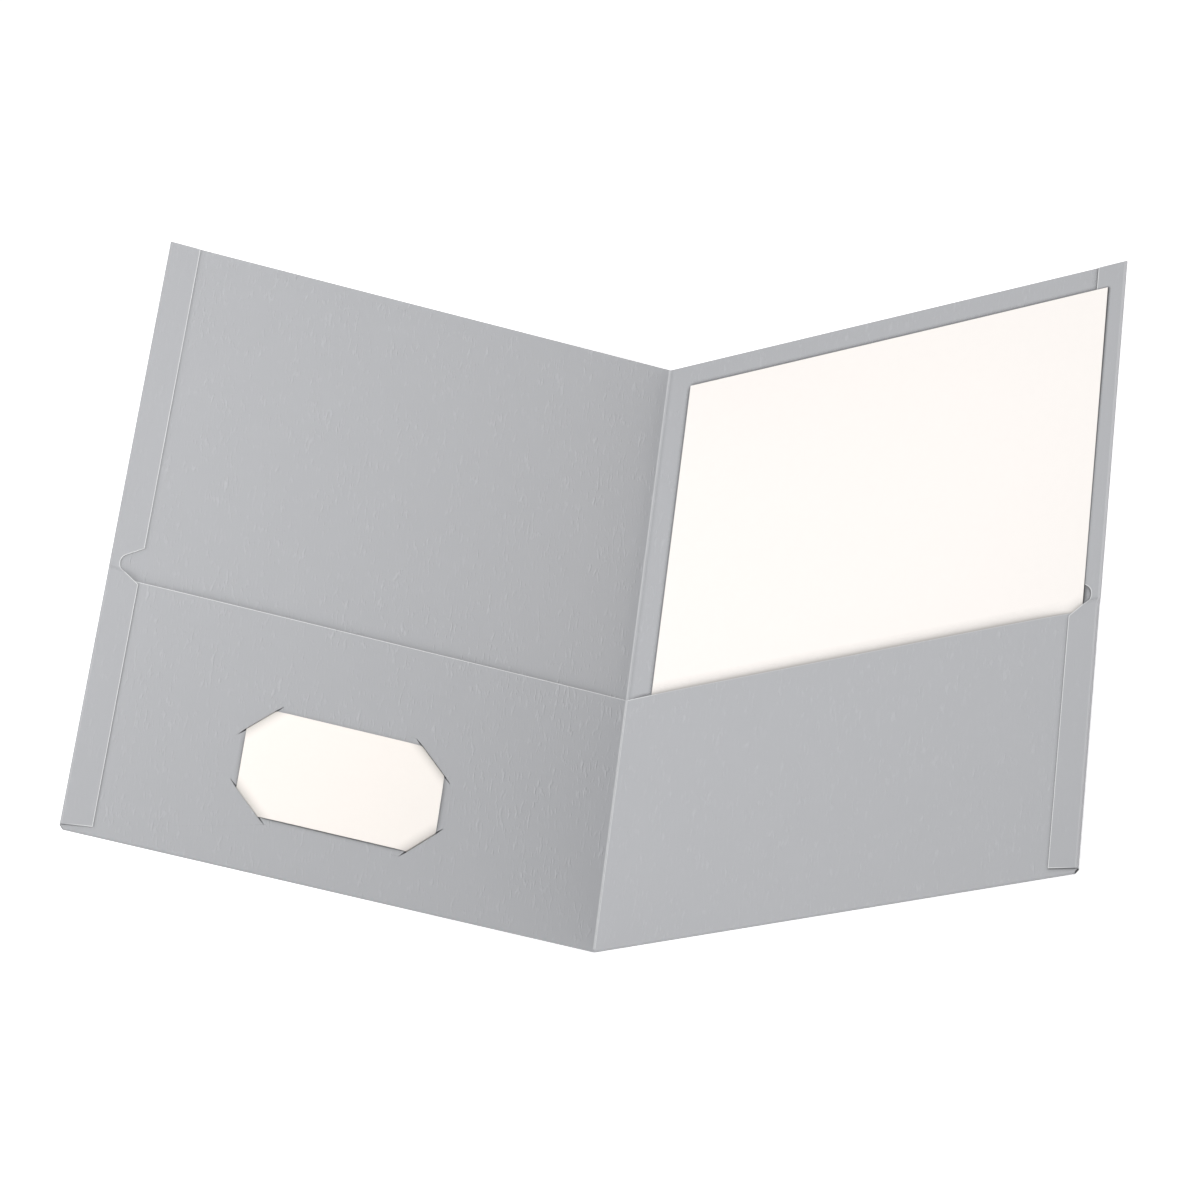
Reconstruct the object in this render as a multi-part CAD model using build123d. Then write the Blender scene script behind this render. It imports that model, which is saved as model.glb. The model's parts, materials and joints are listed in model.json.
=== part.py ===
from build123d import *
from math import radians, sin, sqrt, tan
import os

# A two pocket presentation folder: one die-cut board, creased down the spine, with its lower
# edge turned up as a pocket on both covers and its outer edges turned in and glued down.
# The back cover lies flat, the front cover stands part open. All sizes are in millimetres.
# Each cover is drawn flat first: X out from the spine, Y up the page, Z in from the outer face.

# Letter sheet, and the margins of the cover round it.
SHEET_W = 215.9
SHEET_H = 279.4
SHEET_T = 0.1
SPINE_MARGIN = 12.5
EDGE_MARGIN = 8.1
TOP_MARGIN = 12.0
BOTTOM_MARGIN = 3.6

# Board, pocket and glued edge flap.
BOARD_T = 0.35
POCKET_H = 122.5
FLAP_W = 13.8
FLAP_END_RISE = 1.8
CORNER_CUT_X = 2.0
CORNER_CUT_Y = 2.2
FOLD_LEG = 0.3
GLUE_T = 0.05
GLUE_INSET = 2.0

# Play between layers that slide or lie on each other, and between the closed covers.
LAYER_GAP = 0.1
CLOSED_GAP = 0.3
OPEN_ANGLE = 130.0

# Notch where the flap steps from the pocket down to the panel, and the sheet's edge comes through.
NOTCH_NECK = 4.4
NOTCH_R = 5.3
NOTCH_FLANK = 34.0
NOTCH_OVER_MOUTH = 7.9
NOTCH_LIP_R = 1.0
RAMP_L = 3.0

# Business card, held by its corners in four slits of the front pocket.
CARD_W = 88.9
CARD_H = 50.8
CARD_T = 0.3
CARD_PLAY = 0.05
CARD_FROM_SPINE = 120.7
CARD_FROM_BOTTOM = 51.5
CARD_TUCK = 12.0
SLIT_W = 0.7
SLIT_CLEAR = 0.1
SLIT_OVERRUN = 2.8

# Cover size.
PANEL_W = SPINE_MARGIN + SHEET_W + EDGE_MARGIN
PANEL_H = BOTTOM_MARGIN + SHEET_H + TOP_MARGIN

# Heights of the layers above the cover's outer face: undersides end in _Z, top faces in _TOP.
UPPER_FLAP_Z = BOARD_T + GLUE_T
UPPER_FLAP_TOP = UPPER_FLAP_Z + BOARD_T
SHEET_Z = UPPER_FLAP_TOP + LAYER_GAP
POCKET_Z = max(SHEET_Z + SHEET_T, BOARD_T + LAYER_GAP + CARD_T) + LAYER_GAP
POCKET_TOP = POCKET_Z + BOARD_T
LOWER_FLAP_Z = POCKET_TOP + GLUE_T
LOWER_FLAP_TOP = LOWER_FLAP_Z + BOARD_T
CARD_Z = POCKET_TOP + CARD_PLAY
TUCK_Z = POCKET_Z - CARD_PLAY - CARD_T
CARD_BEND = SLIT_W - 2 * SLIT_CLEAR

# Spine: the board bends round this axis, just above the highest layer, so the covers close flat.
HINGE_Z = max(LOWER_FLAP_TOP, CARD_Z + CARD_T) + CLOSED_GAP / 2
HINGE = Axis((0, 0, HINGE_Z), (0, 1, 0))
REST_FOLD = 180.0 - OPEN_ANGLE

# Depth of the two folds, measured in from the outer face of the bend to the flat board.
BOTTOM_REACH = POCKET_TOP / 2 + FOLD_LEG
EDGE_REACH = LOWER_FLAP_TOP / 2 + FOLD_LEG

# Notch: its sharp corner before rounding, its half opening, and the ramp where the flap steps down,
# just above both the pocket's mouth and the place where the sheet's edge comes out from under the flap.
NOTCH_Y = POCKET_H + NOTCH_OVER_MOUTH
NOTCH_SLOPE = tan(radians(NOTCH_FLANK))
NOTCH_TIP = NOTCH_NECK + NOTCH_R - NOTCH_R / sin(radians(NOTCH_FLANK))
NOTCH_HALF = (FLAP_W - NOTCH_TIP) * NOTCH_SLOPE
SHEET_LEAVES_Y = NOTCH_Y - (EDGE_MARGIN - NOTCH_TIP) * NOTCH_SLOPE
RAMP_LOW = max(SHEET_LEAVES_Y, POCKET_H) + LAYER_GAP
RAMP_HIGH = RAMP_LOW + RAMP_L


def layer(outline, underside, thickness):
    """A flat outline in X and Y as a sheet of board or paper at its height."""
    return extrude(Pos(0, 0, underside) * outline, amount=thickness)


def corner_cut():
    """The lower outer corner that the die takes off, through all layers."""
    corner = Polygon((PANEL_W - CORNER_CUT_X, 0), (PANEL_W, 0), (PANEL_W, CORNER_CUT_Y), align=None)
    return layer(corner, 0, HINGE_Z)


def flat_board(outer_edge, toe_y, top, underside):
    """A flat face of the cover, with a small toe that fills the corner under the edge fold."""
    outline = Polygon(
        (0, BOTTOM_REACH),
        (PANEL_W, BOTTOM_REACH),
        (PANEL_W, toe_y),
        (outer_edge, toe_y),
        (outer_edge, top),
        (0, top),
        align=None,
    )
    return layer(outline, underside, BOARD_T) - corner_cut()


def panel():
    """The cover itself."""
    return flat_board(PANEL_W - EDGE_REACH, CORNER_CUT_Y, PANEL_H, 0)


def pocket():
    """The turned-up front of the pocket, just clear of the edge fold."""
    return flat_board(PANEL_W - EDGE_REACH - LAYER_GAP, CORNER_CUT_Y - LAYER_GAP, POCKET_H, POCKET_Z)


def u_bend(height, reach):
    """Section of board bent double: the bend's outer face at X 0, two legs towards +X."""
    bend_r = height / 2
    upper_leg = height - BOARD_T
    outline = [
        Line((reach, 0), (bend_r, 0)),
        ThreePointArc((bend_r, 0), (0, bend_r), (bend_r, height)),
        Line((bend_r, height), (reach, height)),
        Line((reach, height), (reach, upper_leg)),
        Line((reach, upper_leg), (bend_r, upper_leg)),
        ThreePointArc((bend_r, upper_leg), (BOARD_T, bend_r), (bend_r, BOARD_T)),
        Line((bend_r, BOARD_T), (reach, BOARD_T)),
        Line((reach, BOARD_T), (reach, 0)),
    ]
    return make_face(outline)


def bottom_fold():
    """The bend along the lower edge that joins panel and pocket."""
    section = Plane.YZ * u_bend(POCKET_TOP, BOTTOM_REACH)
    return extrude(section, amount=PANEL_W) - corner_cut()


def edge_section(y, height):
    """Section of the outer edge's bend at a place up the page."""
    at_edge = Plane(origin=(PANEL_W, y, 0), x_dir=(-1, 0, 0), z_dir=(0, 1, 0))
    return at_edge * u_bend(height, EDGE_REACH)


def edge_fold():
    """The bend along the outer edge: wide beside the pocket, tight above it, tapered at the notch."""
    beside_pocket = extrude(edge_section(CORNER_CUT_Y, LOWER_FLAP_TOP), amount=RAMP_LOW - CORNER_CUT_Y)
    taper = loft([edge_section(RAMP_LOW, LOWER_FLAP_TOP), edge_section(RAMP_HIGH, UPPER_FLAP_TOP)], ruled=True)
    above_pocket = extrude(edge_section(RAMP_HIGH, UPPER_FLAP_TOP), amount=PANEL_H - RAMP_HIGH)
    return beside_pocket + taper + above_pocket


def notch():
    """Rounded V in the flap's free edge."""
    free_x = PANEL_W - FLAP_W - NOTCH_R
    tip = (PANEL_W - NOTCH_TIP, NOTCH_Y)
    half = (PANEL_W - NOTCH_TIP - free_x) * NOTCH_SLOPE
    wedge = Polygon(tip, (free_x, NOTCH_Y + half), (free_x, NOTCH_Y - half), align=None)
    return fillet(wedge.vertices().sort_by(Axis.X)[-1], NOTCH_R)


def flap_outline():
    """The flap seen square on: slanted lower end, notch in the free edge with its lower lip rounded."""
    strip = Polygon(
        (PANEL_W - EDGE_REACH, CORNER_CUT_Y),
        (PANEL_W - EDGE_REACH, PANEL_H),
        (PANEL_W - FLAP_W, PANEL_H),
        (PANEL_W - FLAP_W, CORNER_CUT_Y + FLAP_END_RISE),
        align=None,
    )
    outline = strip - notch()
    lip = (PANEL_W - FLAP_W, NOTCH_Y - NOTCH_HALF)
    return fillet(outline.vertices().sort_by_distance(lip)[0], NOTCH_LIP_R)


def flap(low_y, low_z, high_y, high_z):
    """The stretch of the flap between two places up the page, each at its height."""
    side = Polygon(
        (low_y, low_z),
        (high_y, high_z),
        (high_y, high_z + BOARD_T),
        (low_y, low_z + BOARD_T),
        align=None,
    )
    return layer(flap_outline(), 0, HINGE_Z) & extrude(Plane.YZ * side, amount=PANEL_W)


def glue_line(low_y, high_y, underside):
    """Adhesive under the flap, set in from its edges."""
    width = FLAP_W - EDGE_REACH - 2 * GLUE_INSET
    line = Rectangle(width, high_y - low_y, align=Align.MIN)
    return layer(Pos(PANEL_W - FLAP_W + GLUE_INSET, low_y) * line, underside, GLUE_T)


def cover():
    """One cover's pieces, flat, by name."""
    return {
        "panel": panel(),
        "pocket": pocket(),
        "bottom_fold": bottom_fold(),
        "edge_fold": edge_fold(),
        "lower_flap": flap(0, LOWER_FLAP_Z, RAMP_LOW, LOWER_FLAP_Z),
        "flap_neck": flap(RAMP_LOW, LOWER_FLAP_Z, RAMP_HIGH, UPPER_FLAP_Z),
        "upper_flap": flap(RAMP_HIGH, UPPER_FLAP_Z, PANEL_H, UPPER_FLAP_Z),
        "lower_glue": glue_line(
            CORNER_CUT_Y + FLAP_END_RISE + GLUE_INSET,
            NOTCH_Y - NOTCH_HALF - GLUE_INSET,
            POCKET_TOP,
        ),
        "upper_glue": glue_line(NOTCH_Y + NOTCH_HALF + GLUE_INSET, PANEL_H - GLUE_INSET, BOARD_T),
    }


def four_corners(piece):
    """A piece drawn at the card's upper outer corner, repeated at all four."""
    pair = [piece, mirror(piece, Plane.YZ)]
    return pair + [mirror(one, Plane.XZ) for one in pair]


def on_card(distance):
    """Plane across the card's upper outer corner: X along the slit, Z out to the corner's point."""
    leg = CARD_TUCK / 2
    middle = Vector(CARD_W / 2 - leg, CARD_H / 2 - leg, 0)
    outward = Vector(1, 1, 0).normalized()
    return Plane(origin=middle + outward * distance, x_dir=(1, -1, 0), z_dir=outward)


def slits():
    """Four knife cuts across the card's corners, longer than the corners they take."""
    length = (CARD_TUCK + 2 * SLIT_OVERRUN) * sqrt(2)
    middle = on_card(SLIT_W / 2).origin
    slit = layer(Pos(middle.X, middle.Y) * Rot(0, 0, -45) * SlotOverall(length, SLIT_W), POCKET_Z, BOARD_T)
    return Pos(CARD_FROM_SPINE, CARD_FROM_BOTTOM) * Compound(four_corners(slit))


def card_corner():
    """A corner of the card, bent down through its slit and lying behind the pocket."""
    bend_end = SLIT_CLEAR + CARD_BEND
    point = CARD_TUCK / sqrt(2)
    side = Polygon(
        (SLIT_CLEAR, CARD_Z),
        (bend_end, TUCK_Z),
        (point, TUCK_Z),
        (point, TUCK_Z + CARD_T),
        (bend_end, TUCK_Z + CARD_T),
        (SLIT_CLEAR, CARD_Z + CARD_T),
        align=None,
    )
    corner = on_card(0)
    across = Plane(origin=corner.origin, x_dir=corner.z_dir, z_dir=corner.x_dir)
    bent = extrude(across * side, amount=CARD_TUCK, both=True)
    return bent & layer(Rectangle(CARD_W, CARD_H), TUCK_Z, CARD_Z + CARD_T - TUCK_Z)


def card():
    """The card: flat between the slits, its four corners tucked."""
    flat = layer(Rectangle(CARD_W, CARD_H), CARD_Z, CARD_T)
    start = on_card(SLIT_CLEAR)
    corner_block = extrude(start * Rectangle(CARD_W, CARD_W), amount=CARD_W)
    for block in four_corners(corner_block):
        flat -= block
    for corner in four_corners(card_corner()):
        flat += corner
    return Pos(CARD_FROM_SPINE, CARD_FROM_BOTTOM) * flat


def letter():
    """The sheet in the back pocket: over the upper flap, behind the pocket."""
    place = Pos(SPINE_MARGIN, BOTTOM_MARGIN)
    return layer(place * Rectangle(SHEET_W, SHEET_H, align=Align.MIN), SHEET_Z, SHEET_T)


def crease(section):
    """Board at the spine, bent round the hinge from the back cover to the front cover."""
    return revolve(Plane.YZ * section, axis=HINGE, revolution_arc=REST_FOLD)


def strip(low_y, high_y, underside):
    """Section of a flat layer at the spine."""
    return Pos(low_y, underside) * Rectangle(high_y - low_y, BOARD_T, align=Align.MIN)


def front(piece):
    """A cover piece as it stands on the front cover: mirrored and turned up about the spine."""
    return mirror(piece, Plane.YZ).rotate(HINGE, REST_FOLD)


def folder():
    """All pieces in place, with the spine on the Y axis."""
    pieces = {}
    for name, piece in cover().items():
        pieces["back_" + name] = piece
        pieces["front_" + name] = front(piece - slits() if name == "pocket" else piece)
    pieces["spine_crease"] = crease(strip(BOTTOM_REACH, PANEL_H, 0))
    pieces["pocket_crease"] = crease(strip(BOTTOM_REACH, POCKET_H, POCKET_Z))
    pieces["bottom_crease"] = crease(u_bend(POCKET_TOP, BOTTOM_REACH))
    pieces["letter_sheet"] = letter()
    pieces["business_card"] = front(card())
    return pieces


os.makedirs("parts", exist_ok=True)

# The part's origin is the middle of the back cover's outer face.
for name, piece in folder().items():
    placed = Pos(-PANEL_W / 2, -PANEL_H / 2, 0) * piece
    export_step(placed, f"parts/{name}.step")
    print(name, round(placed.volume, 2), placed.bounding_box().size)

print("cover", PANEL_W, "by", PANEL_H, "hinge at", -PANEL_W / 2, HINGE_Z, "closed thickness", 2 * HINGE_Z)
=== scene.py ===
# %% [markdown]
# A two pocket presentation folder, dressed for the camera.
# The solids come in as a fixed frame, and the places and outlines of the pieces below are read from them.
# The flat board and its folds stay as they are and get a paper finish. What paper does that a stiff solid
# can't show, such as a pocket that gapes, a crease that bends or a card that springs up between its slits,
# is modelled here as a mesh of its own.

# %% Load the folder
import json
from math import cos, radians, sin, sqrt

import bmesh
import bpy
from mathutils import Matrix, Vector


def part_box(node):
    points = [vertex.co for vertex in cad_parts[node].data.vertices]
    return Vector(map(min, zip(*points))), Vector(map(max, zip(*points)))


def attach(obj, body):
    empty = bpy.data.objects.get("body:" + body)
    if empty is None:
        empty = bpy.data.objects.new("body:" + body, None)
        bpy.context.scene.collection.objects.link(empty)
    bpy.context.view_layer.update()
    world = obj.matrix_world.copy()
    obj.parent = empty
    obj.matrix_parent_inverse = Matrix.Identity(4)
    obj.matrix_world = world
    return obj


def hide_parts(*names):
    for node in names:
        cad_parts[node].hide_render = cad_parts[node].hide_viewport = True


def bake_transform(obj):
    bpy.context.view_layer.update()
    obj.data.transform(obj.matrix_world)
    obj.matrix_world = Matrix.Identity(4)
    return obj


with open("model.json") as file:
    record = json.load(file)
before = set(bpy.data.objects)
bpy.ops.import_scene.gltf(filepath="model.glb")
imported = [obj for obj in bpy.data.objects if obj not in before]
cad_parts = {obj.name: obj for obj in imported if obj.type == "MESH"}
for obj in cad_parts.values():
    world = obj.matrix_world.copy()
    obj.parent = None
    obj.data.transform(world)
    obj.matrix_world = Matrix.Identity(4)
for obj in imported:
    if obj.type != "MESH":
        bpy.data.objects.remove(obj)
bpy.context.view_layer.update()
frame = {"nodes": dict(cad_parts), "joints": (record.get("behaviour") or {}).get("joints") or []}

MM = 0.001
nodes = frame["nodes"]

# %% [markdown]
# The front cover hangs on the spine. Undoing its fold lays it flat, and a mirror lays it on the back
# cover, so one set of plain coordinates serves both: X out from the spine, Y up the page, Z up from the
# outer face. Pieces of the front cover are drawn there and then folded into place.

# %% The spine and the two covers
spine_fold = next(joint for joint in frame["joints"] if joint["name"] == "spine_fold")
HINGE = Vector(spine_fold["pos_m"])
REST_FOLD = radians(-spine_fold["range_deg"][0])
to_hinge = Matrix.Translation(HINGE)
folded_over = Matrix.Rotation(REST_FOLD, 4, "Y") @ Matrix.Scale(-1, 4, (1, 0, 0))
PLACING = {"back": Matrix.Identity(4), "front": to_hinge @ folded_over @ to_hinge.inverted()}
FACING = {"back": Vector((0, 0, 1)), "front": Vector((sin(REST_FOLD), 0, cos(REST_FOLD)))}


def flat_box(node, cover):
    """Lowest and highest corner of a solid in its cover's flat coordinates."""
    undo = PLACING[cover].inverted()
    corners = [undo @ vertex.co for vertex in nodes[node].data.vertices]
    low = Vector([min(corner[i] for corner in corners) for i in range(3)])
    high = Vector([max(corner[i] for corner in corners) for i in range(3)])
    return low, high


pocket_low, pocket_high = flat_box("back_pocket", "back")
MOUTH_Y = pocket_high.y
print("front cover turns", spine_fold["range_deg"], "degrees")
print("pocket mouth at", round(MOUTH_Y / MM, 1), "mm")

# %% [markdown]
# The camera stands where the photographer's stood. Its place and lens were found by matching the edges
# of the covers, the pockets, the sheet and the card. The folder was shown tilted, so the picture's
# upright leans away from the floor's, and the camera takes an up direction of its own.

# %% Camera
PHOTO_SIDE = 1200
LENS_PIXELS = 4800
SENSOR = 36.0
CAMERA_PLACE = Vector((1.01335, -0.98827, 1.5246))
CAMERA_AIM = Vector((-0.10579, -0.00045, 0.04753))
PICTURE_UP = Vector((0.17448, 0.87447, 0.45262))


def into_scene(name, data):
    """A new object in the scene."""
    thing = bpy.data.objects.new(name, data)
    bpy.context.scene.collection.objects.link(thing)
    return thing


camera = into_scene("camera", bpy.data.cameras.new("camera"))
camera.data.sensor_width = SENSOR
camera.data.lens = LENS_PIXELS * SENSOR / PHOTO_SIDE
away = (CAMERA_PLACE - CAMERA_AIM).normalized()
right = PICTURE_UP.cross(away).normalized()
turn = Matrix((right, away.cross(right), away)).transposed()
camera.matrix_world = Matrix.Translation(CAMERA_PLACE) @ turn.to_4x4()
bpy.context.scene.camera = camera
print("lens", round(camera.data.lens, 1), "mm")

# %% [markdown]
# Shader trees are wired with one small helper. Colours are written as the sRGB values that a colour
# picker shows, and one function turns them into the linear values that shaders work in. Paper is never
# quite even, so another function lays soft patches of noise over it, at a size in real millimetres.

# %% Helpers for materials
NOISE_BODY = (0.3, 0.7)


def linear(colour):
    """An sRGB hex colour as linear red, green, blue and alpha."""
    parts = [int(colour[i : i + 2], 16) / 255 for i in (1, 3, 5)]
    return [p / 12.92 if p <= 0.04045 else ((p + 0.055) / 1.055) ** 2.4 for p in parts] + [1.0]


def add_node(tree, kind, inputs=None, **settings):
    """Adds a node. Settings are its properties, and inputs its sockets: a value or another socket each."""
    node = tree.nodes.new(kind)
    for name, value in settings.items():
        setattr(node, name, value)
    for name, value in (inputs or {}).items():
        if isinstance(value, bpy.types.NodeSocket):
            tree.links.new(value, node.inputs[name])
        else:
            node.inputs[name].default_value = value
    return node


def new_material(name):
    """An empty material with its shader and the tree that feeds it."""
    material = bpy.data.materials.new(name)
    material.use_nodes = True
    tree = material.node_tree
    return material, tree, tree.nodes["Principled BSDF"]


def patches(tree, size, values, span=NOISE_BODY, detail=2.0):
    """Soft patches of a size along each axis. The noise between the ends of span becomes the values."""
    place = add_node(tree, "ShaderNodeTexCoord").outputs["Object"]
    scaled = add_node(tree, "ShaderNodeMapping", {"Vector": place, "Scale": [1 / side for side in size]})
    noise_inputs = {"Vector": scaled.outputs["Vector"], "Scale": 1.0, "Detail": detail}
    noise = add_node(tree, "ShaderNodeTexNoise", noise_inputs)
    range_inputs = {"Value": noise.outputs["Fac"], "From Min": span[0], "From Max": span[1]}
    range_inputs.update({"To Min": values[0], "To Max": values[1]})
    return add_node(tree, "ShaderNodeMapRange", range_inputs).outputs["Result"]


print("noise is read between", *NOISE_BODY)

# %% [markdown]
# Where sheets lie on each other, light gets lost between them. A painted line would be right in one pose
# only. Ambient occlusion is worked out from what lies nearby, so a shade that it deepens moves with the
# pieces. Along the spine, where the covers only shade each other, it fades out.

# %% Contact shade
DARKEST = 0.45
SPINE_CLEAR = 8.0 * MM


def contact_shade(tree, reach, depth, softness, rays):
    """Brightness left beside a sheet that lies close above. A softness below 1 spreads the shade out."""
    place = add_node(tree, "ShaderNodeTexCoord").outputs["Object"]
    from_hinge = add_node(tree, "ShaderNodeVectorMath", {0: place, 1: HINGE}, operation="SUBTRACT")
    level_inputs = {0: from_hinge.outputs[0], 1: (1.0, 0.0, 1.0)}
    level = add_node(tree, "ShaderNodeVectorMath", level_inputs, operation="MULTIPLY")
    off_spine = add_node(tree, "ShaderNodeVectorMath", {0: level.outputs[0]}, operation="LENGTH")
    clear_inputs = {"Value": off_spine.outputs["Value"], "From Min": 0.0, "From Max": SPINE_CLEAR}
    clear_inputs.update({"To Min": 0.0, "To Max": -depth})
    weight = add_node(tree, "ShaderNodeMapRange", clear_inputs)
    open_sky = add_node(tree, "ShaderNodeAmbientOcclusion", {"Distance": reach}, samples=rays)
    hidden = add_node(tree, "ShaderNodeMath", {0: 1.0, 1: open_sky.outputs["AO"]}, operation="SUBTRACT")
    spread = add_node(tree, "ShaderNodeMath", {0: hidden.outputs[0], 1: softness}, operation="POWER")
    left_inputs = {0: spread.outputs[0], 1: weight.outputs["Result"], 2: 1.0}
    left = add_node(tree, "ShaderNodeMath", left_inputs, operation="MULTIPLY_ADD")
    kept = add_node(tree, "ShaderNodeMath", {0: left.outputs[0], 1: DARKEST}, operation="MAXIMUM")
    return kept.outputs[0]


print("contact shade fades out within", round(SPINE_CLEAR / MM, 1), "mm of the spine")

# %% [markdown]
# Cover board: dyed paperboard, embossed between rollers with a fine leather-like grain. To the eye it is
# a quiet matte grey with short upright dashes, a little paler on their rubbed crests and shaded where
# light rakes across them. The grain is too fine for a mesh, so noise that is stretched upright draws its
# dashes, for the colour and for a bump alike. Faces that are folded or glued down are pressed smoother.

# %% Embossed cover board
BOARD_GREY = "#adaeb1"
CORE_AND_HIGHLIGHT_PALE = "#f2f3f3"
BOARD_ROUGHNESS = 0.72
BOARD_IOR = 1.45
DASH = (1.2 * MM, 4.5 * MM, 1.2 * MM)
DASH_SPAN = (0.55, 0.75)
DASH_DETAIL = 1.0
CLUSTER = (9 * MM, 14 * MM, 9 * MM)
CLUSTER_SPAN = (0.4, 0.6)
CLUSTER_STRENGTH = (0.2, 1.0)
MOTTLE = (14 * MM, 14 * MM, 14 * MM)
MOTTLE_BRIGHTNESS = (0.996, 1.004)
TOOTH = (0.3 * MM, 0.3 * MM, 0.3 * MM)
TOOTH_HEIGHT = (0.0, 0.05)
EMBOSS_DEPTH = 0.155 * MM
CREST_PALE = 0.09


def embossed_board(name, grain, pale_mask, shade=None):
    """Grey embossed board: strength of embossing, mask of pale edges and painted highlights, contact shade.
    """
    material, tree, shader = new_material(name)
    dashes = patches(tree, DASH, (0.0, 1.0), DASH_SPAN, DASH_DETAIL)
    cluster = patches(tree, CLUSTER, CLUSTER_STRENGTH, CLUSTER_SPAN)
    embossed = add_node(tree, "ShaderNodeMath", {0: dashes, 1: cluster}, operation="MULTIPLY").outputs[0]
    uneven = patches(tree, MOTTLE, MOTTLE_BRIGHTNESS)
    worn_inputs = {0: embossed, 1: CREST_PALE * grain, 2: uneven}
    worn = add_node(tree, "ShaderNodeMath", worn_inputs, operation="MULTIPLY_ADD")
    dye_inputs = {0: 1.0, 6: linear(BOARD_GREY), 7: worn.outputs[0]}
    dye = add_node(tree, "ShaderNodeMix", dye_inputs, data_type="RGBA", blend_type="MULTIPLY")
    # Pale where the mask says: the board's core on cut faces, partly core and partly painted highlight on
    # rims and creases, painted light on the back outer fold.
    edge_inputs = {0: pale_mask(tree), 6: dye.outputs[2], 7: linear(CORE_AND_HIGHLIGHT_PALE)}
    colour = add_node(tree, "ShaderNodeMix", edge_inputs, data_type="RGBA")
    if shade:
        shaded_inputs = {0: 1.0, 6: colour.outputs[2], 7: contact_shade(tree, **shade)}
        colour = add_node(tree, "ShaderNodeMix", shaded_inputs, data_type="RGBA", blend_type="MULTIPLY")
    tree.links.new(colour.outputs[2], shader.inputs["Base Color"])
    tooth = patches(tree, TOOTH, TOOTH_HEIGHT)
    height = add_node(tree, "ShaderNodeMath", {0: embossed, 1: tooth}, operation="ADD")
    bump_inputs = {"Height": height.outputs[0], "Distance": EMBOSS_DEPTH, "Strength": grain}
    bump = add_node(tree, "ShaderNodeBump", bump_inputs)
    tree.links.new(bump.outputs["Normal"], shader.inputs["Normal"])
    shader.inputs["Roughness"].default_value = BOARD_ROUGHNESS
    shader.inputs["IOR"].default_value = BOARD_IOR
    return material


print("dashes of", [round(side / MM, 1) for side in DASH], "mm,", round(EMBOSS_DEPTH / MM, 3), "mm deep")

# %% [markdown]
# The die knife crushes the board along every cut, and the paler core shows there as a hairline. A mask
# draws it. On the panels it is read from the direction of a face, because only the cut edges stand square
# to the cover, so their solids need no change. One outer fold is painted a little paler all over, as
# painted light.

# %% Board on the panels and folds
FACE_GRAIN = 1.0
FOLD_GRAIN = 0.3
PAINTED_FOLD_LIGHT = 0.1
EDGE_ON = (0.3, 0.8)
CONTACT = {
    "back_panel": {"reach": 3.0 * MM, "depth": 5.0, "softness": 0.8, "rays": 16},
    "back_pocket": {"reach": 2.2 * MM, "depth": 2.0, "softness": 0.85, "rays": 16},
    "front_panel": {"reach": 7.0 * MM, "depth": 0.2, "softness": 0.3, "rays": 24},
    "front_pocket": {"reach": 2.2 * MM, "depth": 0.75, "softness": 0.85, "rays": 16},
    "back_flap": {"reach": 1.5 * MM, "depth": 4.0, "softness": 0.8, "rays": 16},
}


def evenly_pale(share):
    """Mask maker for a fold that is evenly pale, by a share that may be 0."""

    def mask(tree):
        return share

    return mask


def cut_edges(facing):
    """Mask maker for the faces that stand square to a cover, which are its cut edges."""

    def mask(tree):
        normal = add_node(tree, "ShaderNodeTexCoord").outputs["Normal"]
        upright = add_node(tree, "ShaderNodeVectorMath", {0: normal, 1: facing}, operation="DOT_PRODUCT")
        size = add_node(tree, "ShaderNodeMath", {0: upright.outputs["Value"]}, operation="ABSOLUTE")
        range_inputs = {"Value": size.outputs[0], "From Min": EDGE_ON[0], "From Max": EDGE_ON[1]}
        range_inputs.update({"To Min": 1.0, "To Max": 0.0})
        return add_node(tree, "ShaderNodeMapRange", range_inputs).outputs["Result"]

    return mask


def wear(node_name, material):
    """Gives a solid one material in place of its own."""
    slots = nodes[node_name].data.materials
    slots.clear()
    slots.append(material)
    print(node_name, "wears", material.name)


fold_board = embossed_board("fold_board", FOLD_GRAIN, evenly_pale(0.0))
# Painted light: the back outer fold is painted evenly paler than the front one.
painted_light_board = embossed_board("painted_light_fold_board", FOLD_GRAIN, evenly_pale(PAINTED_FOLD_LIGHT))
for cover, facing in FACING.items():
    panel = cover + "_panel"
    wear(panel, embossed_board(panel + "_board", FACE_GRAIN, cut_edges(facing), CONTACT[panel]))
    wear(cover + "_bottom_fold", fold_board)
wear("front_edge_fold", fold_board)
wear("back_edge_fold", painted_light_board)

# %% [markdown]
# The flaps and the pockets are worked up from copies of their solids, which keeps their outlines and
# places. Drawing them afresh would need every size again. A copy comes as loose triangles, so its
# corners are joined first, and cuts along planes then give it the rows of edges that it bends along.

# %% Helpers for bent pieces
WELD = 0.005 * MM
SHARP_ANGLE = radians(35)


def welded(*names):
    """Copies of solids with their loose triangles joined up."""
    work = bmesh.new()
    for name in names:
        work.from_mesh(nodes[name].data)
    bmesh.ops.remove_doubles(work, verts=work.verts, dist=WELD)
    return work


def slice_through(work, place, direction, near=WELD):
    """Cuts a mesh along a plane and keeps both sides. Corners this near to the plane count as on it."""
    everything = work.verts[:] + work.edges[:] + work.faces[:]
    bmesh.ops.bisect_plane(work, geom=everything, plane_co=place, plane_no=direction, dist=near)


def cut_across(work, axis, low, high, count):
    """Cuts a sheet into evenly spaced rows along an axis, so that it can bend."""
    direction = Vector([1.0 if i == axis else 0.0 for i in range(3)])
    for i in range(count + 1):
        slice_through(work, direction * (low + (high - low) * i / count), direction)


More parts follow.
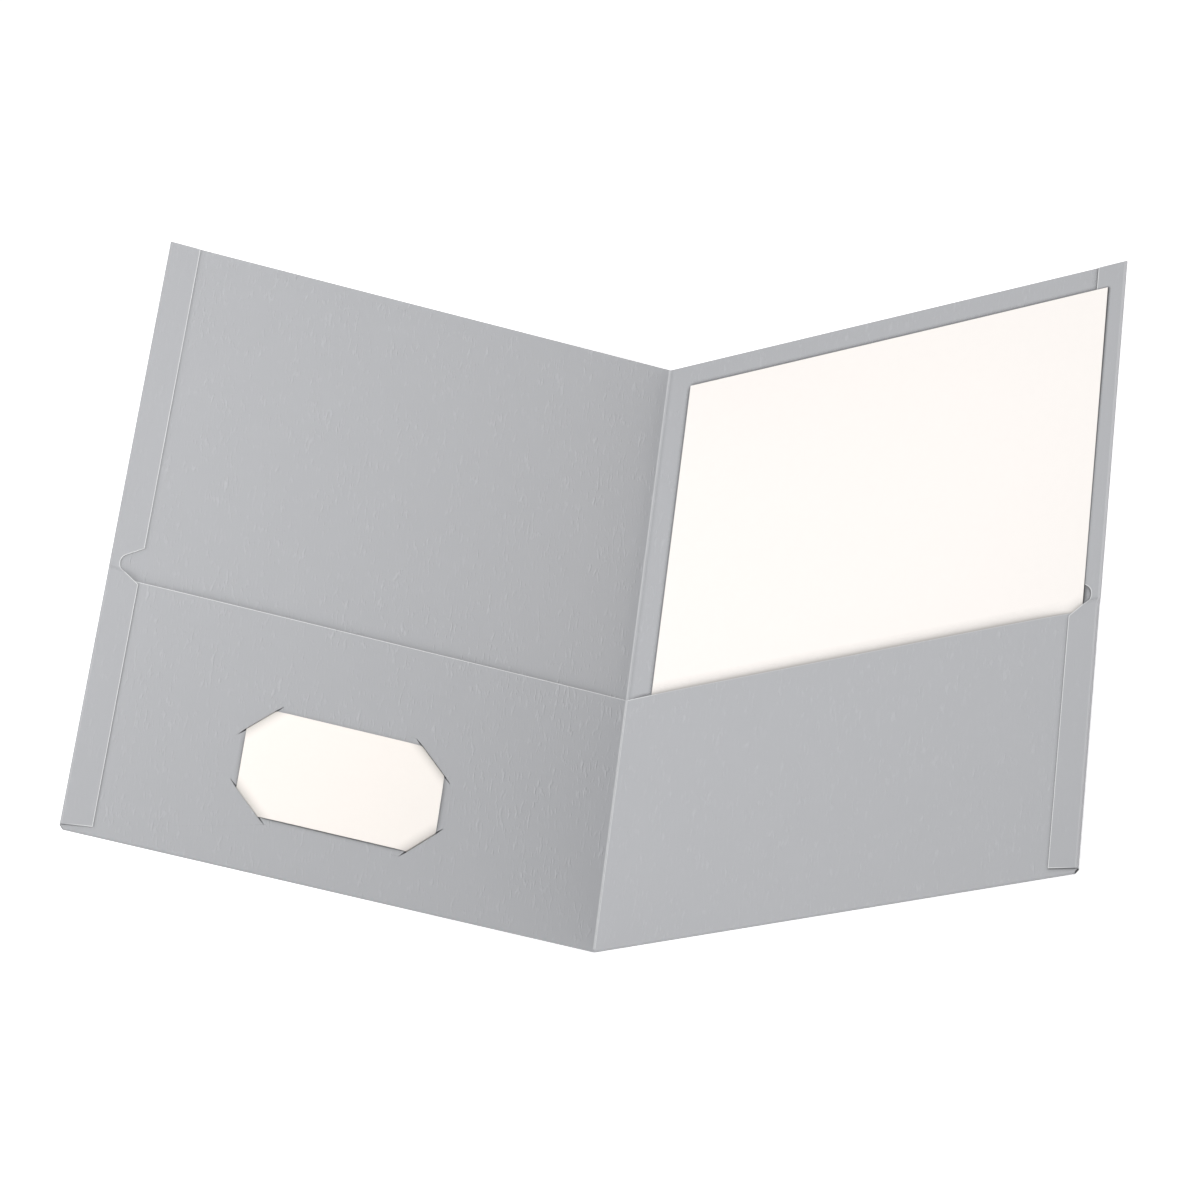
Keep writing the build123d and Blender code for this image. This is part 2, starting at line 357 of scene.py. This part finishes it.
def smooth_bends(work):
    """Shades bends as smooth and leaves the sharp edges sharp."""
    for face in work.faces:
        face.smooth = True
    for edge in work.edges:
        edge.smooth = len(edge.link_faces) == 2 and edge.calc_face_angle() < SHARP_ANGLE


def finished_mesh(work, name):
    """A worked mesh as Blender data."""
    mesh = bpy.data.meshes.new(name)
    work.to_mesh(mesh)
    work.free()
    return mesh


def new_piece(mesh, material, slot, *replaced):
    """A finished mesh as a piece that stands for solids."""
    piece = into_scene(mesh.name, mesh)
    mesh.materials.append(material)
    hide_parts(*replaced)
    print(piece.name, len(mesh.polygons), "faces")
    return piece


print("corners within", round(WELD / MM, 3), "mm are joined")

# %% [markdown]
# The edge flap is one strip of board that steps from the pocket down to the panel beside its rounded
# notch. The solids carry it as three stretches. Here they are welded into one skin, the step between
# them is eased as paper eases it, and an inset loop just inside the outline marks the pale rim of the cut
# in a mesh attribute. That rim is partly the crushed pale core of the cut and partly a painted highlight
# of the edge. It is drawn wider than the cut is, because at its true width no picture would show
# it. The sheet lies on the back flap, so that one also has a contact shade.

# %% Edge flaps
FLAP_STRETCHES = ("_lower_flap", "_flap_neck", "_upper_flap")
FLAP_GRAIN = 0.35
FLAT_ANGLE = radians(1)
STEP_ROWS = 8
RIM_W = 0.4 * MM
UPPER_SIDE = 0.7


def marked_line(tree):
    """Mask read from the mesh, where its maker marked the rim of a cut or the line of a crease."""
    return add_node(tree, "ShaderNodeAttribute", attribute_name="pale_line").outputs["Fac"]


def clamped(share):
    """A share held between 0 and 1."""
    return min(max(share, 0.0), 1.0)


def eased(share):
    """A share between 0 and 1 that starts and stops gently."""
    return share * share * (3 - 2 * share)


def flap_mesh(cover):
    """The whole flap of a cover, with the rim of its upper side marked."""
    work = welded(*[cover + stretch for stretch in FLAP_STRETCHES])
    work.transform(PLACING[cover].inverted())
    step_low, step_high = flat_box(cover + "_flap_neck", cover)
    drop = flat_box(cover + "_lower_flap", cover)[0].z - flat_box(cover + "_upper_flap", cover)[0].z
    for meeting_y in (step_low.y, step_high.y):
        inner = [face for face in work.faces if all(abs(v.co.y - meeting_y) < WELD for v in face.verts)]
        bmesh.ops.delete(work, geom=inner, context="FACES")
    bmesh.ops.dissolve_limit(work, angle_limit=FLAT_ANGLE, verts=work.verts, edges=work.edges)
    cut_across(work, 1, step_low.y, step_high.y, STEP_ROWS)
    for vertex in work.verts:
        share = clamped((vertex.co.y - step_low.y) / (step_high.y - step_low.y))
        vertex.co.z += drop * (share - eased(share))
    bmesh.ops.recalc_face_normals(work, faces=work.faces)
    # Pale rim on the upper side: partly the crushed core of the cut, partly a painted highlight of the
    # edge.
    rim = work.verts.layers.float.new("pale_line")
    upper = [face for face in work.faces if face.normal.z > UPPER_SIDE]
    bmesh.ops.inset_region(work, faces=upper, thickness=RIM_W, use_even_offset=True, use_boundary=True)
    inside = {vertex for face in upper for vertex in face.verts}
    for vertex in work.verts:
        at_fold = vertex.co.x > step_high.x - WELD
        vertex[rim] = 0.0 if at_fold or vertex in inside else 1.0
    work.transform(PLACING[cover])
    bmesh.ops.recalc_face_normals(work, faces=work.faces)
    smooth_bends(work)
    return finished_mesh(work, cover + "_edge_flap")


for cover in FACING:
    name = cover + "_flap"
    flap_board = embossed_board("smooth_" + name + "_board", FLAP_GRAIN, marked_line, CONTACT.get(name))
    stretches = [cover + stretch for stretch in FLAP_STRETCHES]
    flap = new_piece(flap_mesh(cover), flap_board, "cover_board", *stretches)
    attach(flap, cover + "_cover")

# %% [markdown]
# Four slanting slits in the front pocket hold the card by its corners. They stay open where the card goes
# through and close up again towards their ends. All four are alike, so one rule serves them, and later the
# card too: how far a point lies past its nearest slit, and how far from the middle of that slit.

# %% Card slits
CARD_TUCK = 12.0 * MM
SLIT_W = 0.7 * MM
SLIT_OVERRUN = 4.0 * MM
SLIT_SPARE = 0.2 * MM
SLIT_OPEN = CARD_TUCK / sqrt(2) + SLIT_SPARE
SLIT_END_W = 0.15
CORNERS = ((1, 1), (-1, 1), (-1, -1), (1, -1))
card_low, card_high = flat_box("business_card", "front")
card_middle = (card_low + card_high) / 2
half_w = (card_high.x - card_low.x) / 2
half_h = (card_high.y - card_low.y) / 2


def at_slit(x, y):
    """Place of a point of the card at its nearest slit: how far past it, and how far from its middle."""
    across = abs(x) - half_w + CARD_TUCK / 2
    up = abs(y) - half_h + CARD_TUCK / 2
    return (across + up) / sqrt(2), (across - up) / sqrt(2)


def close_slit_ends(work):
    """Narrows the four card slits beyond the edges of the card."""
    for x_side, y_side in CORNERS:
        along = Vector((x_side, -y_side, 0)).normalized()
        middle_x = x_side * (half_w - CARD_TUCK / 2)
        middle_y = y_side * (half_h - CARD_TUCK / 2)
        slit_middle = Vector((middle_x, middle_y, 0)) + card_middle
        slice_through(work, slit_middle - along * SLIT_OPEN, along)
        slice_through(work, slit_middle + along * SLIT_OPEN, along)
    for vertex in work.verts:
        x, y = vertex.co.x - card_middle.x, vertex.co.y - card_middle.y
        past, from_middle = at_slit(x, y)
        share = (abs(from_middle) - SLIT_OPEN) / SLIT_OVERRUN
        if -WELD < past < SLIT_W + WELD and 0 < share < 1:
            outward = Vector((1 if x > 0 else -1, 1 if y > 0 else -1, 0)).normalized()
            vertex.co -= outward * (past - SLIT_W / 2) * (1 - SLIT_END_W) * share


print("slits stay open over", round(2 * SLIT_OPEN / MM, 1), "mm")

# %% [markdown]
# The pocket face is held along its bottom fold, the spine and the glued flap, and free at its mouth. Board
# that has been folded never lies dead flat, so the mouth gapes a little, more where the sheet is in.
# A copy of the solid is cut into small squares and lifted by a smooth rule. A real gap casts the soft
# shade that a painted one could only imitate, and it is shallow enough for the covers to close. The pale
# hairline of the lip is partly the crushed core of the cut and partly a painted highlight. It is painted
# weaker in front of the sheet, where white paper behind it would drown it.

# %% Pockets
GAPE = {"back": 0.7 * MM, "front": 0.3 * MM}
GAPE_EVEN = 8
LIP_PALE = 1.0
LIP_ON_SHEET = 0.3
SCORE_PALE = 0.5
SCORE_W = 0.5 * MM
SQUARE = 6.0 * MM
flap_edge = flat_box("back_lower_flap", "back")[0].x
sheet_edge = flat_box("letter_sheet", "back")[0].x


def mouth_lift(cover, x, y):
    """How far the gaping pocket face of a cover stands off its solid at a point."""
    across = min((x - pocket_low.x) / (flap_edge - pocket_low.x), 1.0)
    up = (y - pocket_low.y) / (MOUTH_Y - pocket_low.y)
    return GAPE[cover] * (1 - (2 * across - 1) ** GAPE_EVEN) * up**2


def pocket_mesh(cover):
    """The pocket face of a cover, gaping at its mouth, with the rim of the mouth and the score marked."""
    work = welded(cover + "_pocket")
    work.transform(PLACING[cover].inverted())
    left, bottom = pocket_low.x, pocket_low.y
    cut_across(work, 0, left, flap_edge, round((flap_edge - left) / SQUARE))
    cut_across(work, 0, left, left + SCORE_W, 1)
    cut_across(work, 1, bottom, MOUTH_Y - RIM_W, round((MOUTH_Y - bottom) / SQUARE))
    if cover == "front":
        close_slit_ends(work)
    bmesh.ops.remove_doubles(work, verts=work.verts, dist=WELD)
    rim = work.verts.layers.float.new("pale_line")
    for vertex in work.verts:
        # Pale marks at the score by the spine and at the lip of the mouth: partly core, partly painted
        # highlight.
        if vertex.co.x < left + SCORE_W / 2:
            vertex[rim] = SCORE_PALE
        elif vertex.co.y > MOUTH_Y - RIM_W / 2:
            on_sheet = cover == "back" and vertex.co.x > sheet_edge
            vertex[rim] = LIP_ON_SHEET if on_sheet else LIP_PALE
        vertex.co.z += mouth_lift(cover, vertex.co.x, vertex.co.y)
    work.transform(PLACING[cover])
    work.normal_update()
    return finished_mesh(work, cover + "_gaping_pocket")


for cover in FACING:
    name = cover + "_pocket"
    pocket_board = embossed_board(name + "_board", FACE_GRAIN, marked_line, CONTACT[name])
    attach(new_piece(pocket_mesh(cover), pocket_board, "cover_board", name), cover + "_cover")

# %% [markdown]
# The spine is one scored line through the panel and, below the mouths, through the pocket face. Scoring
# pushes up a small bead on the inside of the bend, and its crown is painted pale, partly as rubbed board
# and partly as a painted highlight along the crown. Each strip is swept round the hinge in small steps,
# and it rides on neither cover.

# %% Spine creases
CREASE_GRAIN = 0.4
CREASE_STEPS = 16
BEAD = 0.12 * MM
BEAD_LEAN = 2.0
CREASES = {
    "spine_bend": {"node": "spine_crease", "beside": "back_panel", "pale": 0.3},
    "pocket_bend": {"node": "pocket_crease", "beside": "back_pocket", "pale": 0.6},
}


def round_spine(radius, angle, y):
    """A point at a distance from the hinge, turned from straight below it towards the front cover."""
    return Vector((HINGE.x - radius * sin(angle), y, HINGE.z - radius * cos(angle)))


def crease_mesh(name, low_y, high_y, outer, inner, pale):
    """A strip of board bent round the spine, with a bead along its inside that leans to the front cover."""
    work = bmesh.new()
    line = work.verts.layers.float.new("pale_line")
    rings = []
    for step in range(CREASE_STEPS + 1):
        share = step / CREASE_STEPS
        angle = REST_FOLD * share
        crown = (1 - (2 * share**BEAD_LEAN - 1) ** 2) ** 2
        beaded = inner - BEAD * crown
        corners = [(outer, low_y), (outer, high_y), (beaded, high_y), (beaded, low_y)]
        ring = [work.verts.new(round_spine(radius, angle, y)) for radius, y in corners]
        for vertex in ring[2:]:
            # Pale crown of the bead: partly rubbed board, partly painted highlight.
            vertex[line] = pale * crown
        rings.append(ring)
    for first, second in zip(rings, rings[1:]):
        for i in range(4):
            after = (i + 1) % 4
            work.faces.new((first[i], second[i], second[after], first[after]))
    work.faces.new(rings[0])
    work.faces.new(rings[-1])
    bmesh.ops.recalc_face_normals(work, faces=work.faces)
    smooth_bends(work)
    return finished_mesh(work, name)


def bend_with_spine(piece):
    """Bakes a strip's place into its mesh."""
    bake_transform(piece)


crease_board = embossed_board("creased_board", CREASE_GRAIN, marked_line)
for name, crease in CREASES.items():
    low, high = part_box(crease["beside"])
    low_y, high_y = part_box(crease["node"])[0].y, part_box(crease["node"])[1].y
    outer, inner = HINGE.z - low.z, HINGE.z - high.z
    mesh = crease_mesh(name, low_y, high_y, outer, inner, crease["pale"])
    bend = new_piece(mesh, crease_board, "cover_board", crease["node"])
    bend_with_spine(bend)

bottom_bend = welded("bottom_crease")
bottom_bend.verts.layers.float.new("pale_line")
smooth_bends(bottom_bend)
bend = new_piece(finished_mesh(bottom_bend, "bottom_bend"), crease_board, "cover_board", "bottom_crease")
bend_with_spine(bend)

# %% [markdown]
# Under the flaps lie lines of dried adhesive. They are sealed in, but the part is seen from all sides
# and poses, so they get a finish too: a yellowish film with a soft shine.

# %% Dried adhesive
ADHESIVE = "#d9d2bd"
ADHESIVE_CLOT = (2 * MM, 2 * MM, 2 * MM)
ADHESIVE_BRIGHTNESS = (0.9, 1.05)
ADHESIVE_ROUGHNESS = 0.35
ADHESIVE_IOR = 1.48
adhesive, tree, shader = new_material("dried_adhesive")
film_inputs = {0: 1.0, 6: linear(ADHESIVE), 7: patches(tree, ADHESIVE_CLOT, ADHESIVE_BRIGHTNESS)}
film = add_node(tree, "ShaderNodeMix", film_inputs, data_type="RGBA", blend_type="MULTIPLY")
tree.links.new(film.outputs[2], shader.inputs["Base Color"])
shader.inputs["Roughness"].default_value = ADHESIVE_ROUGHNESS
shader.inputs["IOR"].default_value = ADHESIVE_IOR
for cover in FACING:
    wear(cover + "_lower_glue", adhesive)
    wear(cover + "_upper_glue", adhesive)

# %% [markdown]
# The papers: a sheet of smooth white office paper and a card of white stock, both a little warm. At arm's
# length their fibres only show as a faint cloudiness, with a fine tooth where light rakes. What shows more
# is shade that is painted into the colour: on the sheet from the pocket's lip, by ambient occlusion, so
# that it stays at the lip while the sheet slides, and on the card beside its slits, from an attribute that
# its mesh carries.

# %% White papers
LETTER_WHITE = "#f5f0ec"
LETTER_FIBRE = (4 * MM, 4 * MM, 4 * MM)
CARD_WHITE = "#fbf5ef"
CARD_FIBRE = (2 * MM, 2 * MM, 2 * MM)
FIBRE_DETAIL = 3.0
PAPER_BRIGHTNESS = (0.994, 1.0)
PAPER_TOOTH = (0.2 * MM, 0.2 * MM, 0.2 * MM)
PAPER_TOOTH_DEPTH = 0.01 * MM
PAPER_TOOTH_STRENGTH = 0.3
PAPER_ROUGHNESS = 0.85
PAPER_IOR = 1.5
LIP_SHADE = {"reach": 7.0 * MM, "depth": 1.3, "softness": 0.45, "rays": 48}
SLIT_SHADE_STRENGTH = 0.33


def lip_shade(tree):
    """Brightness of the sheet beside the pocket's lip."""
    return contact_shade(tree, **LIP_SHADE)


def slit_shade(tree):
    """Brightness of the card beside its slits, a painted shade read from its mesh."""
    painted_slit_shade = add_node(tree, "ShaderNodeAttribute", attribute_name="painted_slit_shade").outputs["Fac"]
    shade_inputs = {0: painted_slit_shade, 1: -SLIT_SHADE_STRENGTH, 2: 1.0}
    return add_node(tree, "ShaderNodeMath", shade_inputs, operation="MULTIPLY_ADD").outputs[0]


def white_paper(name, white, fibre, shade):
    """Uncoated white paper with a faint cloud of fibres."""
    material, tree, shader = new_material(name)
    cloud = patches(tree, fibre, PAPER_BRIGHTNESS, detail=FIBRE_DETAIL)
    sheet_inputs = {0: 1.0, 6: linear(white), 7: cloud}
    sheet = add_node(tree, "ShaderNodeMix", sheet_inputs, data_type="RGBA", blend_type="MULTIPLY")
    shaded_inputs = {0: 1.0, 6: sheet.outputs[2], 7: shade(tree)}
    shaded = add_node(tree, "ShaderNodeMix", shaded_inputs, data_type="RGBA", blend_type="MULTIPLY")
    tree.links.new(shaded.outputs[2], shader.inputs["Base Color"])
    tooth = patches(tree, PAPER_TOOTH, (0.0, 1.0))
    bump_inputs = {"Height": tooth, "Distance": PAPER_TOOTH_DEPTH, "Strength": PAPER_TOOTH_STRENGTH}
    bump = add_node(tree, "ShaderNodeBump", bump_inputs)
    tree.links.new(bump.outputs["Normal"], shader.inputs["Normal"])
    shader.inputs["Roughness"].default_value = PAPER_ROUGHNESS
    shader.inputs["IOR"].default_value = PAPER_IOR
    return material


letter_paper = white_paper("white_letter_paper", LETTER_WHITE, LETTER_FIBRE, lip_shade)
card_stock = white_paper("white_card_stock", CARD_WHITE, CARD_FIBRE, slit_shade)
print("papers:", letter_paper.name, card_stock.name)

# %% [markdown]
# The letter sheet is a plane whose shape follows a rule, so Geometry Nodes make it: a grid, lifted by
# a few tenths of a millimetre towards its top edge and corners as a loose sheet lifts, and given its
# thickness. Its sizes are inputs of the tree, so the same rule would serve a sheet of another format.

# %% Rule of a lifted sheet
LIFT_STEEPNESS = 2.0
MIDDLE_LIFT = 0.4
CORNER_LIFT = 2.4
LETTER_COLUMNS = 25
LETTER_ROWS = 33


def letter_tree():
    """Geometry Nodes tree of the sheet, with its sizes as inputs."""
    tree = bpy.data.node_groups.new("lifted_sheet", "GeometryNodeTree")
    for name in ("Width", "Height", "Thickness", "Lift", "Lift From"):
        tree.interface.new_socket(name, in_out="INPUT", socket_type="NodeSocketFloat")
    tree.interface.new_socket("Paper", in_out="INPUT", socket_type="NodeSocketMaterial")
    tree.interface.new_socket("Geometry", in_out="OUTPUT", socket_type="NodeSocketGeometry")
    given = add_node(tree, "NodeGroupInput").outputs
    grid_inputs = {"Size X": given["Width"], "Size Y": given["Height"]}
    grid_inputs.update({"Vertices X": LETTER_COLUMNS, "Vertices Y": LETTER_ROWS})
    grid = add_node(tree, "GeometryNodeMeshGrid", grid_inputs)
    position = add_node(tree, "GeometryNodeInputPosition").outputs[0]
    place = add_node(tree, "ShaderNodeSeparateXYZ", {0: position})
    top = add_node(tree, "ShaderNodeMath", {0: given["Height"], 1: 0.5}, operation="MULTIPLY")
    up_inputs = {"Value": place.outputs["Y"], "From Min": given["Lift From"], "From Max": top.outputs[0]}
    up = add_node(tree, "ShaderNodeMapRange", up_inputs)
    steep = add_node(tree, "ShaderNodeMath", {0: up.outputs[0], 1: LIFT_STEEPNESS}, operation="POWER")
    side = add_node(tree, "ShaderNodeMath", {0: place.outputs["X"], 1: given["Width"]}, operation="DIVIDE")
    corner_inputs = {0: side.outputs[0], 1: side.outputs[0]}
    corner = add_node(tree, "ShaderNodeMath", corner_inputs, operation="MULTIPLY")
    spread_inputs = {0: corner.outputs[0], 1: CORNER_LIFT, 2: MIDDLE_LIFT}
    spread = add_node(tree, "ShaderNodeMath", spread_inputs, operation="MULTIPLY_ADD")
    curl_inputs = {0: steep.outputs[0], 1: spread.outputs[0]}
    curl = add_node(tree, "ShaderNodeMath", curl_inputs, operation="MULTIPLY")
    lift = add_node(tree, "ShaderNodeMath", {0: curl.outputs[0], 1: given["Lift"]}, operation="MULTIPLY")
    offset = add_node(tree, "ShaderNodeCombineXYZ", {"Z": lift.outputs[0]})
    lifted_inputs = {"Geometry": grid.outputs["Mesh"], "Offset": offset.outputs[0]}
    lifted = add_node(tree, "GeometryNodeSetPosition", lifted_inputs)
    upward = add_node(tree, "ShaderNodeCombineXYZ", {"Z": given["Thickness"]})
    walls_inputs = {"Mesh": lifted.outputs["Geometry"], "Offset": upward.outputs[0], "Individual": False}
    walls = add_node(tree, "GeometryNodeExtrudeMesh", walls_inputs)
    underside = add_node(tree, "GeometryNodeFlipFaces", {"Mesh": lifted.outputs["Geometry"]})
    both = add_node(tree, "GeometryNodeJoinGeometry")
    tree.links.new(walls.outputs["Mesh"], both.inputs[0])
    tree.links.new(underside.outputs["Mesh"], both.inputs[0])
    merge_inputs = {"Geometry": both.outputs[0], "Distance": WELD}
    closed = add_node(tree, "GeometryNodeMergeByDistance", merge_inputs)
    real = add_node(tree, "GeometryNodeRealizeInstances", {0: closed.outputs[0]})
    paper_inputs = {"Geometry": real.outputs[0], "Material": given["Paper"]}
    paper = add_node(tree, "GeometryNodeSetMaterial", paper_inputs)
    add_node(tree, "NodeGroupOutput", {0: paper.outputs[0]})
    return tree


sheet_rule = letter_tree()
print(sheet_rule.name, len(sheet_rule.nodes), "nodes")

# %% [markdown]
# With the sizes of its solid the rule gives the letter sheet. Behind the pocket and just above the mouth
# the sheet stays flat, so that it can slide. The result is then made a plain mesh, which moves as the
# other pieces do.

# %% Letter sheet
LETTER_LIFT = 0.4 * MM
FLAT_OVER_MOUTH = 8.0 * MM
letter_low, letter_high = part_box("letter_sheet")
letter_size = letter_high - letter_low
letter_middle = (letter_low + letter_high) / 2
maker = into_scene("sheet_maker", bpy.data.meshes.new("sheet_maker"))
modifier = maker.modifiers.new("sheet", "NODES")
modifier.node_group = sheet_rule
sheet_sizes = {
    "Width": letter_size.x,
    "Height": letter_size.y,
    "Thickness": letter_size.z,
    "Lift": LETTER_LIFT,
    "Lift From": MOUTH_Y + FLAT_OVER_MOUTH - letter_middle.y,
    "Paper": letter_paper,
}
for item in sheet_rule.interface.items_tree:
    if item.in_out == "INPUT":
        modifier[item.identifier] = sheet_sizes[item.name]
made = maker.evaluated_get(bpy.context.evaluated_depsgraph_get())
letter_mesh = bpy.data.meshes.new_from_object(made)
bpy.data.objects.remove(maker)
letter_mesh.name = "lifted_letter"
letter_mesh.materials.clear()
letter_mesh.transform(Matrix.Translation((letter_middle.x, letter_middle.y, letter_low.z)))
letter = new_piece(letter_mesh, letter_paper, "letter_paper", "letter_sheet")
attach(letter, "letter")

# %% [markdown]
# The card is held by its corners, which dive through four slits and lie behind the pocket. Between them
# it springs up clear of the board. One flat rectangle is cut along lines parallel to the slits and
# dropped along a rule that depends only on the distance past the slit, the same at all four corners.
# All of it rides on the gaping pocket face.

# %% Business card
CARD_T = 0.3 * MM
SLIT_CLEAR = 0.1 * MM
CARD_BEND = 0.5 * MM
SPRING = 0.35 * MM
SPRING_L = 5.0 * MM
SPRING_STEPS = 6
rest_z = card_high.z - CARD_T


def card_underside(past):
    """Height of the card's underside at a distance past the slit."""
    if past > SLIT_CLEAR:
        share = min((past - SLIT_CLEAR) / CARD_BEND, 1.0)
        return rest_z + (card_low.z - rest_z) * share
    share = min((SLIT_CLEAR - past) / SPRING_L, 1.0)
    return rest_z + SPRING * (1 - (1 - share) ** 2)


def card_mesh():
    """The card with its corners tucked and its middle sprung up."""
    work = bmesh.new()
    painted_slit_shade = work.verts.layers.float.new("painted_slit_shade")
    corners = [(-half_w, -half_h), (half_w, -half_h), (half_w, half_h), (-half_w, half_h)]
    work.faces.new([work.verts.new((x, y, 0)) for x, y in corners])
    cuts = [SLIT_CLEAR - SPRING_L * i / SPRING_STEPS for i in range(SPRING_STEPS + 1)]
    cuts.append(SLIT_CLEAR + CARD_BEND)
    for x_side, y_side in CORNERS:
        outward = Vector((x_side, y_side, 0)).normalized()
        corner = Vector((x_side * (half_w - CARD_TUCK), y_side * half_h, 0))
        for cut in cuts:
            slice_through(work, corner + outward * cut, outward, near=0.0)
    raised = bmesh.ops.extrude_face_region(work, geom=work.faces[:])["geom"]
    upper = {part for part in raised if isinstance(part, bmesh.types.BMVert)}
    for vertex in work.verts:
        past = at_slit(vertex.co.x, vertex.co.y)[0]
        # Painted shade beside the slits: full at a slit, fading out over the spring length.
        vertex[painted_slit_shade] = (1 - clamped(-past / SPRING_L)) ** 2
        vertex.co.x += card_middle.x
        vertex.co.y += card_middle.y
        vertex.co.z = card_underside(past) + mouth_lift("front", vertex.co.x, vertex.co.y)
        if vertex in upper:
            vertex.co.z += CARD_T
    work.transform(PLACING["front"])
    bmesh.ops.recalc_face_normals(work, faces=work.faces)
    smooth_bends(work)
    return finished_mesh(work, "tucked_card")


card = new_piece(card_mesh(), card_stock, "card_stock", "business_card")
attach(card, "front_cover")

# %% [markdown]
# The folder lies on a table of white acrylic that is lit from below, as product photographers use it, so
# that no shadow shows under the raised cover. A table that only reflects light would show one.

# %% Table
TABLE_SIDE = 30.0
TABLE_GAP = 0.1 * MM
TABLE_WHITE = "#f2f2f2"
TABLE_ROUGHNESS = 0.9
TABLE_GLOW = 0.5
LIGHT_WHITE = "#ffffff"
half = TABLE_SIDE / 2
table_mesh = bpy.data.meshes.new("white_table")
table_corners = [(x_side * half, y_side * half, -TABLE_GAP) for x_side, y_side in CORNERS]
table_mesh.from_pydata(table_corners, [], [(0, 1, 2, 3)])
table = into_scene("white_table", table_mesh)
acrylic, tree, shader = new_material("white_acrylic")
shader.inputs["Base Color"].default_value = linear(TABLE_WHITE)
shader.inputs["Roughness"].default_value = TABLE_ROUGHNESS
shader.inputs["Emission Color"].default_value = linear(LIGHT_WHITE)
shader.inputs["Emission Strength"].default_value = TABLE_GLOW
table_mesh.materials.append(acrylic)
print("table", TABLE_SIDE, "m wide, glowing at", TABLE_GLOW)

# %% [markdown]
# The light is soft and comes from all round: a broad lamp on each side, two smaller ones overhead and an
# even glow. Each lamp is a lit square and not a point, so shadows have soft edges. Colours are shown as
# they are, without the look of film, so that white paper stays white.

# %% Light
STUDIO_GLOW = 0.15
LAMPS = {
    "key_light": {"place": (-0.586, -0.566, 1.436), "side": 0.8, "power": 15.7},
    "rear_light": {"place": (1.073, 1.093, 0.464), "side": 0.8, "power": 5.8},
    "top_light": {"place": (0.15, 0.15, 0.6), "side": 0.4, "power": 1.53},
    "spine_light": {"place": (-0.1, 0.0, 0.6), "side": 0.4, "power": 0.44},
}
world = bpy.data.worlds.new("studio")
world.use_nodes = True
background = world.node_tree.nodes["Background"]
background.inputs["Color"].default_value = linear(LIGHT_WHITE)
background.inputs["Strength"].default_value = STUDIO_GLOW
bpy.context.scene.world = world
bpy.context.scene.view_settings.view_transform = "Standard"


def soft_box(name, place, side, power):
    """A square area light that faces the folder."""
    lamp = bpy.data.lights.new(name, "AREA")
    lamp.size = side
    lamp.energy = power
    box = into_scene(name, lamp)
    box.location = place
    box.rotation_mode = "QUATERNION"
    box.rotation_quaternion = (CAMERA_AIM - Vector(place)).to_track_quat("-Z", "Y")
    box.visible_camera = False
    print(name, power, "W")


for name, lamp in LAMPS.items():
    soft_box(name, **lamp)
